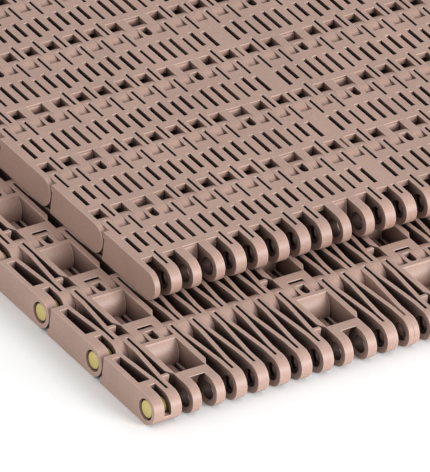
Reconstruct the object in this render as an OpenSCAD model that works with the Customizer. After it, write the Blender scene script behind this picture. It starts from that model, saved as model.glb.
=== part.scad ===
// Slat top chain: a flush-grid modular belt, shown as two strands that lie
// one on the other. X runs across the belt, Y along its travel, Z is up.
// The upper strand has its deck up. The lower strand is turned over.
// A row is one wide module or two narrow ones, laid like bricks, and each
// pair of rows is joined by one pin that a yellow plug keeps in.

/* [Belt] */
// Distance between two hinge axes
pitch = 25.4; // [24:0.2:28]
// Thickness of the belt
thick = 8.7; // [8.4:0.1:9.6]
// Width of a narrow module; a wide one is twice as wide
module_w = 85.2; // [81.6:1.2:96]
// Thickness of the deck plate
deck_t = 1.9; // [1.5:0.1:2.3]
// Thickness of the ribs below the deck
rib_t = 1.25; // [1:0.05:1.35]

/* [Hinge] */
// Diameter of a hinge pin
pin_d = 5; // [4.4:0.1:5.2]
// Radial clearance of a pin in the hinge eyes
pin_clear = 0.09; // [0.03:0.01:0.1]
// Side gap between two neighbouring hinge eyes
eye_gap = 0.15; // [0.1:0.01:0.25]

/* [Deck] */
// Width of the drain slots in the deck
slot_w = 1.4; // [1:0.1:1.5]
// Length of a tooth pocket below the deck
pocket_len = 14.1; // [12.5:0.1:14.3]

/* [Plug edge] */
// Thickness of the edge plate that holds the plug
plug_plate_t = 3.2; // [2.9:0.1:3.6]
// Diameter of the plug head
plug_d = 5.3; // [5.2:0.1:5.7]

/* [Lay of the strands] */
// How far the lower strand shows beside the upper one
lay_x = 25.5; // [10:0.1:60]
// How far the lower strand shows in front of the upper one
lay_y = 38.7; // [30:0.1:40]
// Air between the two strands
lay_gap = 0.2; // [0.1:0.05:0.5]

/* [Hidden] */
$fn = 64;

// Rows of each strand
upper_rows = 6;
lower_rows = 7;

// Hinge eyes across a narrow module and across the belt
eyes = 12;
last_eye = 2 * eyes;
belt_w = 2 * module_w;
eye_step = module_w / eyes;
eye_r = thick / 2;
eye_w = eye_step / 2 - eye_gap;
bore_r = pin_d / 2 + pin_clear;
seam_gap = 0.14;
eps = 0.01;

// Ribs run straight behind the eyes and lean in between
lean_start = 5;
lean_end = pitch - 5.9;
slit_w = eye_w - 2 * rib_t;
slit_start = 0.8;
slit_end = pitch - 0.1;

// Deck edges, and where each kind of slot starts and ends
deck_front = eye_r + 1.35;
deck_back = pitch - eye_r;
even_slot = [0.4 * pitch, 0.69 * pitch];
odd_slot = [0.33 * pitch, 0.64 * pitch];
long_slot = [0.33 * pitch, 0.695 * pitch];
root_slit_end = 0.305 * pitch;
finger_slit_start = 0.71 * pitch;

// Tooth pockets, between the eyes beside these half steps
pocket_steps = [2.5, 9.5, 14.5, 21.5];
pocket_w = 1.4 * eye_step;
block_half = eye_step - eye_w / 2 + rib_t;
block_front_half = eye_step / 2 + eye_w / 2;
pocket_front = 5.6;
pocket_back = pocket_front + pocket_len;
wide_finger_w = 4.6;
block_corner_len = 2.2;
block_groove_r = eye_r + 0.4;
nose_hollow_r = eye_r + 0.55;
window_w = 2.4;
narrow_slot_w = 1;
narrow_slot_shift = block_half + narrow_slot_w / 2 + 0.05;
tail = pitch - eye_r - 0.65;

// Round drive face of a tooth pocket: its radius, how far its axis lies below
// the deck, and how far above the underside it leaves the pocket's back wall
drive_r = 7;
drive_axis_depth = 3;
drive_foot = 0.3;
drive_axis_y = pocket_back + sqrt(drive_r * drive_r - pow(thick - drive_foot - drive_axis_depth, 2));

// Edges
closed_plate_t = eye_w / 2;
plug_wall_t = 1.5;
plug_slot_end = 4.1;
plug_floor_t = 3.6;
plug_recess = [6.2, 18.6];
plug_bore_x = belt_w - plug_plate_t;
last_inner_eye_x = (last_eye - 1) * eye_step + eye_w / 2;
plug_ring = 0.5;
plug_head_len = 2.5;
plug_inset = 0.45;
plug_chamfer = 0.3;
pin_end_play = 0.3;

// Places of the strands, with the middle of the whole at the origin
whole_x = belt_w + lay_x;
whole_back = max(lower_rows * pitch, lay_y + upper_rows * pitch);
lower_x = -whole_x / 2;
upper_x = lower_x + lay_x;
lower_y = -whole_back / 2;
upper_y = lower_y + lay_y;
upper_z = 2 * thick + lay_gap;

belt_colour = "RosyBrown";
pin_colour = "Tan";
plug_colour = "Khaki";

function is_pocket(half_step) = len(search(half_step, pocket_steps)) > 0;
function beside_pocket(eye) = is_pocket(eye - 0.5) || is_pocket(eye + 0.5);

// Plan shapes, seen from above: x across the belt, y along it

// Rib from beside an eye to beside the finger half a step further on
module rib(eye, side, end = slit_end) {
    front_x = side * slit_w / 2;
    back_x = side * (eye_step - eye_w) / 2;
    t = side * rib_t;
    translate([eye * eye_step, 0])
        polygon([
            [front_x, slit_start - eps], [front_x, lean_start], [back_x, lean_end], [back_x, end],
            [back_x + t, end], [back_x + t, lean_end], [front_x + t, lean_start],
            [front_x + t, slit_start - eps]
        ]);
}

module front_eye(eye) {
    translate([eye * eye_step - eye_w / 2, -eye_r])
        square([eye_w, eye_r + slit_start]);
}

module back_finger(half_step) {
    translate([half_step * eye_step - eye_w / 2, slit_end - eps])
        square([eye_w, pitch + eye_r - slit_end + eps]);
}

module wide_finger(half_step) {
    translate([half_step * eye_step - wide_finger_w / 2, deck_back - eps])
        square([wide_finger_w, pitch + eye_r - deck_back + eps]);
}

module finger_window(half_step) {
    translate([half_step * eye_step, pitch - 3]) {
        circle(d = window_w);
        translate([-window_w / 2, 0])
            square([window_w, 3]);
    }
}

// Walled block around a tooth pocket, with the two eyes in front of it
module pocket_block(half_step) {
    inner = wide_finger_w / 2 + eye_gap;
    translate([half_step * eye_step, 0])
        difference() {
            union() {
                polygon([
                    [-block_front_half, -eye_r], [-block_front_half, deck_front],
                    [-block_half, deck_front + block_corner_len], [-block_half, deck_back],
                    [block_half, deck_back], [block_half, deck_front + block_corner_len],
                    [block_front_half, deck_front], [block_front_half, -eye_r]
                ]);
                for (x = [-block_half, block_half - rib_t])
                    translate([x, deck_back - eps])
                        square([rib_t, slit_end - deck_back + eps]);
            }
            translate([-inner, -eye_r - 1])
                square([2 * inner, eye_r + 1]);
        }
}

module pocket_opening(half_step) {
    translate([half_step * eye_step - pocket_w / 2, pocket_front])
        square([pocket_w, pocket_len]);
}

// Thin wall that ties a pocket block to the rib beside it
module cross_web(half_step) {
    x0 = (half_step - 1) * eye_step + block_half - eps;
    x1 = (half_step + 0.5) * eye_step - slit_w / 2 - eps;
    translate([x0, deck_front])
        square([x1 - x0 - rib_t / 2, 1]);
}

// Thick and thin parts of the edge plate that holds the plug
module plug_edge() {
    rib_x = (last_eye - 1) * eye_step + eye_w / 2 - eps;
    tail_x = (last_eye - 0.5) * eye_step - eye_w / 2;
    translate([plug_bore_x, -eye_r])
        square([plug_plate_t, eye_r + plug_recess[0]]);
    translate([rib_x, plug_slot_end])
        square([plug_bore_x - rib_x + eps, plug_recess[0] - plug_slot_end]);
    translate([belt_w - plug_wall_t, plug_recess[0] - eps])
        square([plug_wall_t, tail - plug_recess[0] + eps]);
    translate([tail_x, plug_recess[1]])
        square([belt_w - tail_x, tail - plug_recess[1]]);
}

// Everything that stands the full thickness of the belt
module rib_plan(first, last) {
    for (eye = [first:last])
        if (!beside_pocket(eye)) {
            if (eye > 0 && eye < last_eye)
                front_eye(eye);
            if (eye > first)
                if (eye < last_eye)
                    rib(eye, -1);
            if (eye < last)
                rib(eye, 1, eye == last_eye - 1 ? tail : slit_end);
        }
    for (half_step = [first + 0.5:last - 0.5]) {
        if (is_pocket(half_step)) {
            difference() {
                union() {
                    pocket_block(half_step);
                    wide_finger(half_step);
                }
                pocket_opening(half_step);
                finger_window(half_step);
            }
            cross_web(half_step + 1);
        }
        else if (half_step < last_eye - 1)
            back_finger(half_step);
    }
    if (first == 0)
        translate([0, -eye_r])
            square([closed_plate_t, tail + eye_r]);
    if (last == last_eye)
        plug_edge();
}

module slot(x, ends, width = slot_w) {
    translate([x - width / 2, ends[0]])
        square([width, ends[1] - ends[0]]);
}

// Slots and slits through the deck between two eyes
module deck_slots(first, last) {
    for (eye = [first + 1:last - 1])
        if (eye % eyes != 0) {
            slot(eye * eye_step, beside_pocket(eye) ? long_slot : even_slot);
            if (!beside_pocket(eye))
                slot(eye * eye_step, [slit_start, root_slit_end], slit_w);
        }
    for (half_step = [first + 0.5:last - 0.5])
        if (is_pocket(half_step)) {
            slot(half_step * eye_step, long_slot);
            for (side = [-1, 1])
                slot(half_step * eye_step + side * narrow_slot_shift, odd_slot, narrow_slot_w);
        }
        else {
            if (!is_pocket(half_step - 1) && !is_pocket(half_step + 1))
                slot(half_step * eye_step, odd_slot);
            if (half_step < last_eye - 1)
                slot(half_step * eye_step, [finger_slit_start, slit_end], slit_w);
        }
}

// The deck plate with the eyes and fingers that it ties together
module deck_plan(first, last) {
    difference() {
        union() {
            rib_plan(first, last);
            translate([first * eye_step, deck_front])
                square([(last - first) * eye_step, deck_back - deck_front]);
            if (last == last_eye)
                translate([last_inner_eye_x - eps, -eye_r])
                    square([plug_bore_x - last_inner_eye_x + 2 * eps, eye_r + plug_recess[0]]);
        }
        deck_slots(first, last);
    }
}

// Thick end of the slot beside the plug plate, on the deck side
module plug_slot_floor() {
    translate([last_inner_eye_x - eps, -eye_r, -plug_floor_t])
        cube([plug_bore_x - last_inner_eye_x + 2 * eps, eye_r + plug_slot_end, plug_floor_t]);
}

// Side shape of a row: straight between two round ends
module side_shape() {
    translate([0, -thick])
        square([pitch, thick]);
    for (y = [0, pitch])
        translate([y, -eye_r])
            circle(r = eye_r);
}

// Turns a shape drawn in the Y-Z plane into a bar from x0 to x1
module bar(x0, x1) {
    translate([x0, 0, 0])
        rotate([90, 0, 90])
            linear_extrude(x1 - x0)
                children();
}

// Rod along X at the height of the hinge axes
module rod(x0, x1, y, r) {
    translate([x0, y, -eye_r])
        rotate([0, 90, 0])
            cylinder(r = r, h = x1 - x0);
}

// Hollow at the front of a pocket block for the wide finger of the row before
module nose_hollow(half_step) {
    half = wide_finger_w / 2 + eye_gap;
    x = half_step * eye_step;
    rod(x - half, x + half, 0, nose_hollow_r);
    bar(x - half, x + half)
        polygon([
            [-eye_r, -eye_r], [nose_hollow_r, -eye_r], [deck_front, eps], [-eye_r, eps]
        ]);
}

// Grooves in the back of a pocket block, for the two eyes of the row behind
module back_grooves(half_step) {
    x = half_step * eye_step;
    outer = block_half - rib_t;
    inner = wide_finger_w / 2;
    rod(x - outer, x - inner, pitch, block_groove_r);
    rod(x + inner, x + outer, pitch, block_groove_r);
}

// Round face at the back of a pocket, which a sprocket tooth pushes on
module drive_face(half_step) {
    x0 = half_step * eye_step - pocket_w / 2 - eps;
    x1 = half_step * eye_step + pocket_w / 2 + eps;
    intersection() {
        translate([x0, drive_axis_y, -drive_axis_depth])
            rotate([0, 90, 0])
                cylinder(r = drive_r, h = x1 - x0);
        bar(x0, x1)
            translate([pocket_back - drive_r, -thick])
                square([drive_r + eps, thick - deck_t]);
    }
}

// One module, from the first to the last eye that it reaches
module belt_module(first, last) {
    x0 = first * eye_step + (first > 0 ? seam_gap / 2 : 0);
    x1 = last * eye_step - (last < last_eye ? seam_gap / 2 : 0);
    color(belt_colour) {
        difference() {
            intersection() {
                union() {
                    translate([0, 0, -thick])
                        linear_extrude(thick - deck_t)
                            rib_plan(first, last);
                    translate([0, 0, -deck_t])
                        linear_extrude(deck_t)
                            deck_plan(first, last);
                    if (last == last_eye)
                        plug_slot_floor();
                }
                bar(x0, x1)
                    side_shape();
            }
            rod(max(x0 - 1, closed_plate_t), x1 + 1, 0, bore_r);
            rod(x0 + 1, x1 - 1, pitch, bore_r);
            for (half_step = pocket_steps)
                if (half_step > first && half_step < last) {
                    nose_hollow(half_step);
                    back_grooves(half_step);
                }
            if (last == last_eye)
                rod(belt_w - plug_head_len, belt_w + 1, 0, plug_d / 2 + plug_ring);
        }
        for (half_step = pocket_steps)
            if (half_step > first && half_step < last)
                drive_face(half_step);
    }
}

module hinge_pin() {
    color(pin_colour)
        rod(closed_plate_t + pin_end_play, last_inner_eye_x - pin_end_play, 0, pin_d / 2);
}

module pin_plug() {
    face_x = belt_w - plug_inset;
    rim_x = face_x - plug_chamfer;
    color(plug_colour) {
        rod(belt_w - plug_head_len, rim_x, 0, plug_d / 2);
        translate([rim_x, 0, -eye_r])
            rotate([0, 90, 0])
                cylinder(r1 = plug_d / 2, r2 = plug_d / 2 - plug_chamfer, h = plug_chamfer);
        rod(last_inner_eye_x + pin_end_play, belt_w - plug_head_len + eps, 0, pin_d / 2);
    }
}

// Places a row of the upper strand, deck up
module upper_place(row) {
    translate([upper_x, upper_y + (row - 1) * pitch, upper_z])
        children();
}

// Places a row of the lower strand, turned over
module lower_place(row) {
    translate([lower_x + belt_w, lower_y + (row - 1) * pitch, 0])
        rotate([0, 180, 0])
            children();
}

for (row = [1:2:upper_rows])
    upper_place(row) belt_module(0, last_eye);
for (row = [2:2:upper_rows]) {
    upper_place(row) belt_module(0, eyes);
    upper_place(row) belt_module(eyes, last_eye);
}
for (row = [2:upper_rows]) {
    upper_place(row) hinge_pin();
    upper_place(row) pin_plug();
}
for (row = [2:2:lower_rows])
    lower_place(row) belt_module(0, last_eye);
for (row = [1:2:lower_rows]) {
    lower_place(row) belt_module(0, eyes);
    lower_place(row) belt_module(eyes, last_eye);
}
for (row = [1:lower_rows]) {
    if (row > 1)
        lower_place(row) hinge_pin();
    lower_place(row) pin_plug();
}
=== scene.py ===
"""Looks, light and camera of the slat top chain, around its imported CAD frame.

Every shape is a CAD node. This script gives each node a moulded-plastic
material, lays the belt on a pale floor and sets the light and the camera.
"""

import math

import bpy
from mathutils import Matrix, Vector


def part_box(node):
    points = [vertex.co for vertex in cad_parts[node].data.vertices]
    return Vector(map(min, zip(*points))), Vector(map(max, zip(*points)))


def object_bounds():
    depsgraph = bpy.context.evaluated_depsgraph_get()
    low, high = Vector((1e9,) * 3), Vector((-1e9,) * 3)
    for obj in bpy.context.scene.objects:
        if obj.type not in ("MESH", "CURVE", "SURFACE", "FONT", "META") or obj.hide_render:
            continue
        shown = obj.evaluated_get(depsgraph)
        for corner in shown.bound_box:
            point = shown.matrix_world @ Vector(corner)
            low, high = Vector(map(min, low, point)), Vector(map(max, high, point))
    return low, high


MM = 0.001

# Camera, in degrees and metres
VIEW_AZIMUTH = -38.36
VIEW_ELEVATION = 33.31
VIEW_ROLL = 6.88
VIEW_DISTANCE = 2.783
LENS = 785.2
SENSOR = 36.0
CLIP_END = 100.0
# The camera looks at this point beside the upper strand's front left corner
AIM_FROM_CORNER = Vector((26.3 * MM, 10.4 * MM, 0))

# Linear colours
BELT_COLOUR = (0.44, 0.282, 0.228)
BELT_SHADE = (0.36, 0.231, 0.187)
# Painted highlight along the belt's edges
BELT_EDGE_HIGHLIGHT = (0.85, 0.64, 0.54)
# Painted shade: the near-black colour painted into the belt's hollows, bores and flanks
BELT_PAINTED_SHADE = (0.042, 0.026, 0.022)
PIN_COLOUR = (0.1, 0.06, 0.04)
# Painted shade in the pin's hollows
PIN_PAINTED_SHADE = (0.02, 0.014, 0.012)
PLUG_COLOUR = (0.6, 0.49, 0.16)
# Edge colour of the plug, darker than its body
PLUG_LIGHT = (0.45, 0.3, 0.15)
# Painted shade in the plug's hollows
PLUG_PAINTED_SHADE = (0.1, 0.06, 0.02)
FLOOR_COLOUR = (0.93, 0.93, 0.93)

# Noise of the plastic: large soft clouds and a fine grain, as scale and detail
CLOUD = (60.0, 3.0)
GRAIN = (1600.0, 2.0)
# Cloud and grain together, from the shaded colour to the full one
SPECKLE = (0.75, 1.25)
# How the clouds thin out the edge colour, a painted highlight on the belt: noise range, and
# share of the edge colour
EDGE_TINT_CLOUD = (0.25, 0.6)
EDGE_TINT_SHARE = (0.6, 1.0)
# Grain from smooth to rough, and what it adds to the roughness
GRAIN_RANGE = (0.3, 0.7)
ROUGHNESS_BELOW = 0.05
ROUGHNESS_ABOVE = 0.07
GRAIN_BUMP = 0.25
GRAIN_DEPTH = 0.03 * MM
# Specular level in a hollow with painted shade and on an open face; the low level darkens the
# hollow further
SPECULAR = (0.05, 0.5)
# Cosine between a face and its rounded normal: flat, and on a sharp edge
EDGE_COSINES = (0.995, 0.8)
EDGE_SAMPLES = 6
BELT_ROUGHNESS = 0.45
BELT_EDGE = 0.35 * MM
SMALL_PART_ROUGHNESS = 0.4
SMALL_PART_EDGE = 0.2 * MM

# How far a face looks for others around it, to tell a hollow from an open face for the painted
# shade
HOLLOW_REACH = 10 * MM
HOLLOW_SAMPLES = 12
# From painted shade to unshaded: how open a face across the belt's travel is, and a flank
# along it
FRONT_OPEN = (0.05, 0.3)
SIDE_OPEN = (0.3, 0.85)
# The same for a pin and a plug
PIN_OPEN = (0.2, 0.7)
PLUG_OPEN = (0.3, 0.7)
# How far a face's normal leans to the side, from none of a flank to all of it
FLANK_TURN = (0.6, 0.8)
# A bore's wall lies within this radius of its hinge axis, and shade is painted over it
BORE_RADIUS = 2.65 * MM
BORE_FADE = 0.15 * MM

FLOOR_SIZE = 6.0
FLOOR_DROP = 0.05 * MM
FLOOR_ROUGHNESS = 0.9

WORLD_STRENGTH = 0.78
# Azimuth and elevation in degrees, distance and size in metres, power in watts
LAMPS = {
    "key": (20, 20, 1.2, 0.5, 12.5),
    "fill": (-90, 15, 1.4, 0.8, 2.3),
}

# A mix node has sockets of the same names for each data type. These are the colours'
MIX_FIRST = 6
MIX_SECOND = 7
MIX_RESULT = 2


def new_material(name):
    material = bpy.data.materials.new(name)
    material.use_nodes = True
    nodes = material.node_tree.nodes
    return material, nodes, material.node_tree.links, nodes["Principled BSDF"]


def noise(nodes, links, coords, scale, detail):
    texture = nodes.new("ShaderNodeTexNoise")
    texture.inputs["Scale"].default_value = scale
    texture.inputs["Detail"].default_value = detail
    links.new(coords, texture.inputs["Vector"])
    return texture.outputs["Fac"]


def spread(nodes, links, value, low, high, to_low=0.0, to_high=1.0):
    """Maps value from low..high to to_low..to_high, and stops at the ends."""
    node = nodes.new("ShaderNodeMapRange")
    for socket, number in (
        ("From Min", low),
        ("From Max", high),
        ("To Min", to_low),
        ("To Max", to_high),
    ):
        node.inputs[socket].default_value = number
    links.new(value, node.inputs["Value"])
    return node.outputs["Result"]


def mix(nodes, links, share, first, second):
    """Mixes two colours, each a socket or a linear RGB triple."""
    node = nodes.new("ShaderNodeMix")
    node.data_type = "RGBA"
    links.new(share, node.inputs["Factor"])
    for socket, colour in ((node.inputs[MIX_FIRST], first), (node.inputs[MIX_SECOND], second)):
        if isinstance(colour, tuple):
            socket.default_value = (*colour, 1.0)
        else:
            links.new(colour, socket)
    return node.outputs[MIX_RESULT]


def edge_mask(nodes, links, radius):
    """0 on a flat face and 1 on a sharp edge, and the normal of that edge rounded off."""
    bevel = nodes.new("ShaderNodeBevel")
    bevel.samples = EDGE_SAMPLES
    bevel.inputs["Radius"].default_value = radius
    geometry = nodes.new("ShaderNodeNewGeometry")
    dot = nodes.new("ShaderNodeVectorMath")
    dot.operation = "DOT_PRODUCT"
    links.new(bevel.outputs["Normal"], dot.inputs[0])
    links.new(geometry.outputs["Normal"], dot.inputs[1])
    sharp = spread(nodes, links, dot.outputs["Value"], *EDGE_COSINES)
    return sharp, bevel.outputs["Normal"]


def bump(nodes, links, height, normal, strength, depth):
    node = nodes.new("ShaderNodeBump")
    node.inputs["Strength"].default_value = strength
    node.inputs["Distance"].default_value = depth
    links.new(height, node.inputs["Height"])
    links.new(normal, node.inputs["Normal"])
    return node.outputs["Normal"]


def openness(nodes, links, own_piece=False):
    """1 on an open face, and towards 0 far inside a slot, a cell or a bore; the painted shade
    follows it.

    With own_piece, only the face's own piece can hide it.
    """
    node = nodes.new("ShaderNodeAmbientOcclusion")
    node.samples = HOLLOW_SAMPLES
    node.only_local = own_piece
    node.inputs["Distance"].default_value = HOLLOW_REACH
    return node.outputs["AO"]


def math_node(nodes, links, operation, *values):
    """Math node on sockets and numbers."""
    node = nodes.new("ShaderNodeMath")
    node.operation = operation
    for socket, value in zip(node.inputs, values):
        if isinstance(value, (int, float)):
            socket.default_value = value
        else:
            links.new(value, socket)
    return node.outputs["Value"]


def moulded_plastic(name, colour, shade, light, painted_shade, roughness, edge_radius, unshaded_mask):
    """Moulded plastic: clouded, finely grained, with painted shade in hollows, and softly
    rounded edges in an edge colour that is a painted highlight on the belt.

    The mask function it is given takes (nodes, links, coords) and is 0 in a hollow, where
    shade is painted, and 1 outside.
    """
    material, nodes, links, shader = new_material(name)
    coords = nodes.new("ShaderNodeTexCoord").outputs["Object"]
    cloud = noise(nodes, links, coords, *CLOUD)
    grain = noise(nodes, links, coords, *GRAIN)
    edge, rounded = edge_mask(nodes, links, edge_radius)

    speckled = math_node(nodes, links, "ADD", cloud, grain)
    body = mix(nodes, links, spread(nodes, links, speckled, *SPECKLE), shade, colour)
    # Edge colour thinned by the clouds: a painted highlight on the belt, darker edges on the
    # plug
    edge_cloud_share = spread(nodes, links, cloud, *EDGE_TINT_CLOUD, *EDGE_TINT_SHARE)
    edge_tint_share = math_node(nodes, links, "MULTIPLY", edge, edge_cloud_share)
    edge_tinted = mix(nodes, links, edge_tint_share, body, light)
    # Painted shade: hidden faces take the near-black colour, open faces keep their own
    unshaded = unshaded_mask(nodes, links, coords)
    links.new(mix(nodes, links, unshaded, painted_shade, edge_tinted), shader.inputs["Base Color"])
    # Painted shade also takes most of the specular level away in a hollow
    specular = spread(nodes, links, unshaded, 0.0, 1.0, *SPECULAR)
    links.new(specular, shader.inputs["Specular IOR Level"])
    around = (roughness - ROUGHNESS_BELOW, roughness + ROUGHNESS_ABOVE)
    rough = spread(nodes, links, grain, *GRAIN_RANGE, *around)
    links.new(rough, shader.inputs["Roughness"])
    grained = bump(nodes, links, grain, rounded, GRAIN_BUMP, GRAIN_DEPTH)
    links.new(grained, shader.inputs["Normal"])
    return material


def in_the_open(low, high):
    """Painted-shade mask that only looks at how open a face lies: 0 where shade is painted in
    a hollow, 1 outside.
    """

    def unshaded_mask(nodes, links, coords):
        return spread(nodes, links, openness(nodes, links), low, high)

    return unshaded_mask


def on_a_strand(pins):
    """Painted-shade mask of a strand's modules: painted shade in its bores and hollows, and on
    the flanks of ribs, eyes and slots.

    pins are two neighbouring pins of the strand, which give its hinge axes.
    """
    first, second = ((low + high) / 2 for low, high in map(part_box, pins))
    pitch = second.y - first.y

    def unshaded_mask(nodes, links, coords):
        place = nodes.new("ShaderNodeSeparateXYZ")
        links.new(coords, place.inputs["Vector"])
        along = math_node(nodes, links, "SUBTRACT", place.outputs["Y"], first.y)
        along = math_node(nodes, links, "WRAP", along, pitch / 2, -pitch / 2)
        up = math_node(nodes, links, "SUBTRACT", place.outputs["Z"], first.z)
        along_squared = math_node(nodes, links, "MULTIPLY", along, along)
        up_squared = math_node(nodes, links, "MULTIPLY", up, up)
        squared = math_node(nodes, links, "ADD", along_squared, up_squared)
        radius = math_node(nodes, links, "SQRT", squared)
        # Painted shade in each bore: faces within the bore's radius of a hinge axis go dark,
        # flanks excepted
        out_of_bore = spread(
            nodes, links, radius, BORE_RADIUS, BORE_RADIUS + BORE_FADE
        )
        facing = nodes.new("ShaderNodeSeparateXYZ")
        geometry = nodes.new("ShaderNodeNewGeometry")
        links.new(geometry.outputs["Normal"], facing.inputs["Vector"])
        sideways = math_node(nodes, links, "ABSOLUTE", facing.outputs["X"])
        flank = spread(nodes, links, sideways, *FLANK_TURN)
        out_of_bore = math_node(nodes, links, "MAXIMUM", out_of_bore, flank)
        # Painted shade in hollows: a face across the travel darkens only deep in a hollow, a
        # flank already when its own piece partly hides it
        front = spread(nodes, links, openness(nodes, links), *FRONT_OPEN)
        side = spread(nodes, links, openness(nodes, links, own_piece=True), *SIDE_OPEN)
        unshaded = mix(nodes, links, flank, front, side)
        return math_node(nodes, links, "MULTIPLY", unshaded, out_of_bore)

    return unshaded_mask


def dress(materials):
    """Gives each CAD node the material of its kind."""
    for name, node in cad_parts.items():
        kind = next(k for k in materials if k in name)
        node.data.materials.clear()
        node.data.materials.append(materials[kind])


def add_floor(low, centre):
    bpy.ops.mesh.primitive_plane_add(
        size=FLOOR_SIZE, location=(centre.x, centre.y, low.z - FLOOR_DROP)
    )
    floor = bpy.context.object
    floor.name = "floor"
    material, _, _, shader = new_material("pale_floor")
    shader.inputs["Base Color"].default_value = (*FLOOR_COLOUR, 1.0)
    shader.inputs["Roughness"].default_value = FLOOR_ROUGHNESS
    floor.data.materials.append(material)


def add_light(name, centre, azimuth, elevation, distance, size, power):
    """Soft square lamp, aimed at the belt from azimuth and elevation, in degrees."""
    data = bpy.data.lights.new(name, "AREA")
    data.shape = "SQUARE"
    data.size = size
    data.energy = power
    lamp = bpy.data.objects.new(name, data)
    turn = view_rotation(azimuth, elevation)
    lamp.matrix_world = Matrix.Translation(
        centre + turn @ Vector((0, 0, distance))
    ) @ turn.to_4x4()
    bpy.context.scene.collection.objects.link(lamp)


def view_rotation(azimuth, elevation, roll=0.0):
    """Rotation of a camera or lamp. Azimuth 0 looks along +Y, 90 along -X."""
    return (
        Matrix.Rotation(math.radians(azimuth), 3, "Z")
        @ Matrix.Rotation(math.radians(90 - elevation), 3, "X")
        @ Matrix.Rotation(math.radians(roll), 3, "Z")
    )


def add_camera():
    left_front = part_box("upper_module_1")
    corner = Vector((left_front[0].x, left_front[0].y, left_front[1].z))
    data = bpy.data.cameras.new("camera")
    data.sensor_width = SENSOR
    data.lens = LENS
    data.clip_end = CLIP_END
    camera = bpy.data.objects.new("camera", data)
    turn = view_rotation(VIEW_AZIMUTH, VIEW_ELEVATION, VIEW_ROLL)
    camera.matrix_world = Matrix.Translation(
        corner + AIM_FROM_CORNER + turn @ Vector((0, 0, VIEW_DISTANCE))
    ) @ turn.to_4x4()
    bpy.context.scene.collection.objects.link(camera)
    bpy.context.scene.camera = camera


def add_world(strength):
    world = bpy.data.worlds.new("studio")
    world.use_nodes = True
    background = world.node_tree.nodes["Background"]
    background.inputs["Color"].default_value = (1, 1, 1, 1)
    background.inputs["Strength"].default_value = strength
    bpy.context.scene.world = world


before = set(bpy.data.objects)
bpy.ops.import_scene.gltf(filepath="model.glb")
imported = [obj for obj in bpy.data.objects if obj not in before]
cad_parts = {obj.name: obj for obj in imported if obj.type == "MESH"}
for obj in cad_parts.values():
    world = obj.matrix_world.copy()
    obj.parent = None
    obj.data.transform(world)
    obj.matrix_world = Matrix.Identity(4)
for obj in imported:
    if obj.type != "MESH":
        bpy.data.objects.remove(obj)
cad_low, cad_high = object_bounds()
cad_centre = (cad_low + cad_high) / 2

belt = (BELT_COLOUR, BELT_SHADE, BELT_EDGE_HIGHLIGHT, BELT_PAINTED_SHADE, BELT_ROUGHNESS, BELT_EDGE)
dress(
    {
        "upper_module": moulded_plastic(
            "belt_plastic_deck_up", *belt, on_a_strand(("upper_pin_2", "upper_pin_3"))
        ),
        "lower_module": moulded_plastic(
            "belt_plastic_deck_down", *belt, on_a_strand(("lower_pin_2", "lower_pin_3"))
        ),
        "pin": moulded_plastic(
            "pin_plastic",
            PIN_COLOUR,
            PIN_COLOUR,
            PIN_COLOUR,
            PIN_PAINTED_SHADE,
            SMALL_PART_ROUGHNESS,
            SMALL_PART_EDGE,
            in_the_open(*PIN_OPEN),
        ),
        "plug": moulded_plastic(
            "plug_plastic",
            PLUG_COLOUR,
            PLUG_COLOUR,
            PLUG_LIGHT,
            PLUG_PAINTED_SHADE,
            SMALL_PART_ROUGHNESS,
            SMALL_PART_EDGE,
            in_the_open(*PLUG_OPEN),
        ),
    }
)
add_floor(cad_low, cad_centre)
add_world(WORLD_STRENGTH)
for lamp_name, lamp in LAMPS.items():
    add_light(lamp_name, cad_centre, *lamp)
add_camera()
bpy.context.scene.view_settings.view_transform = "Standard"
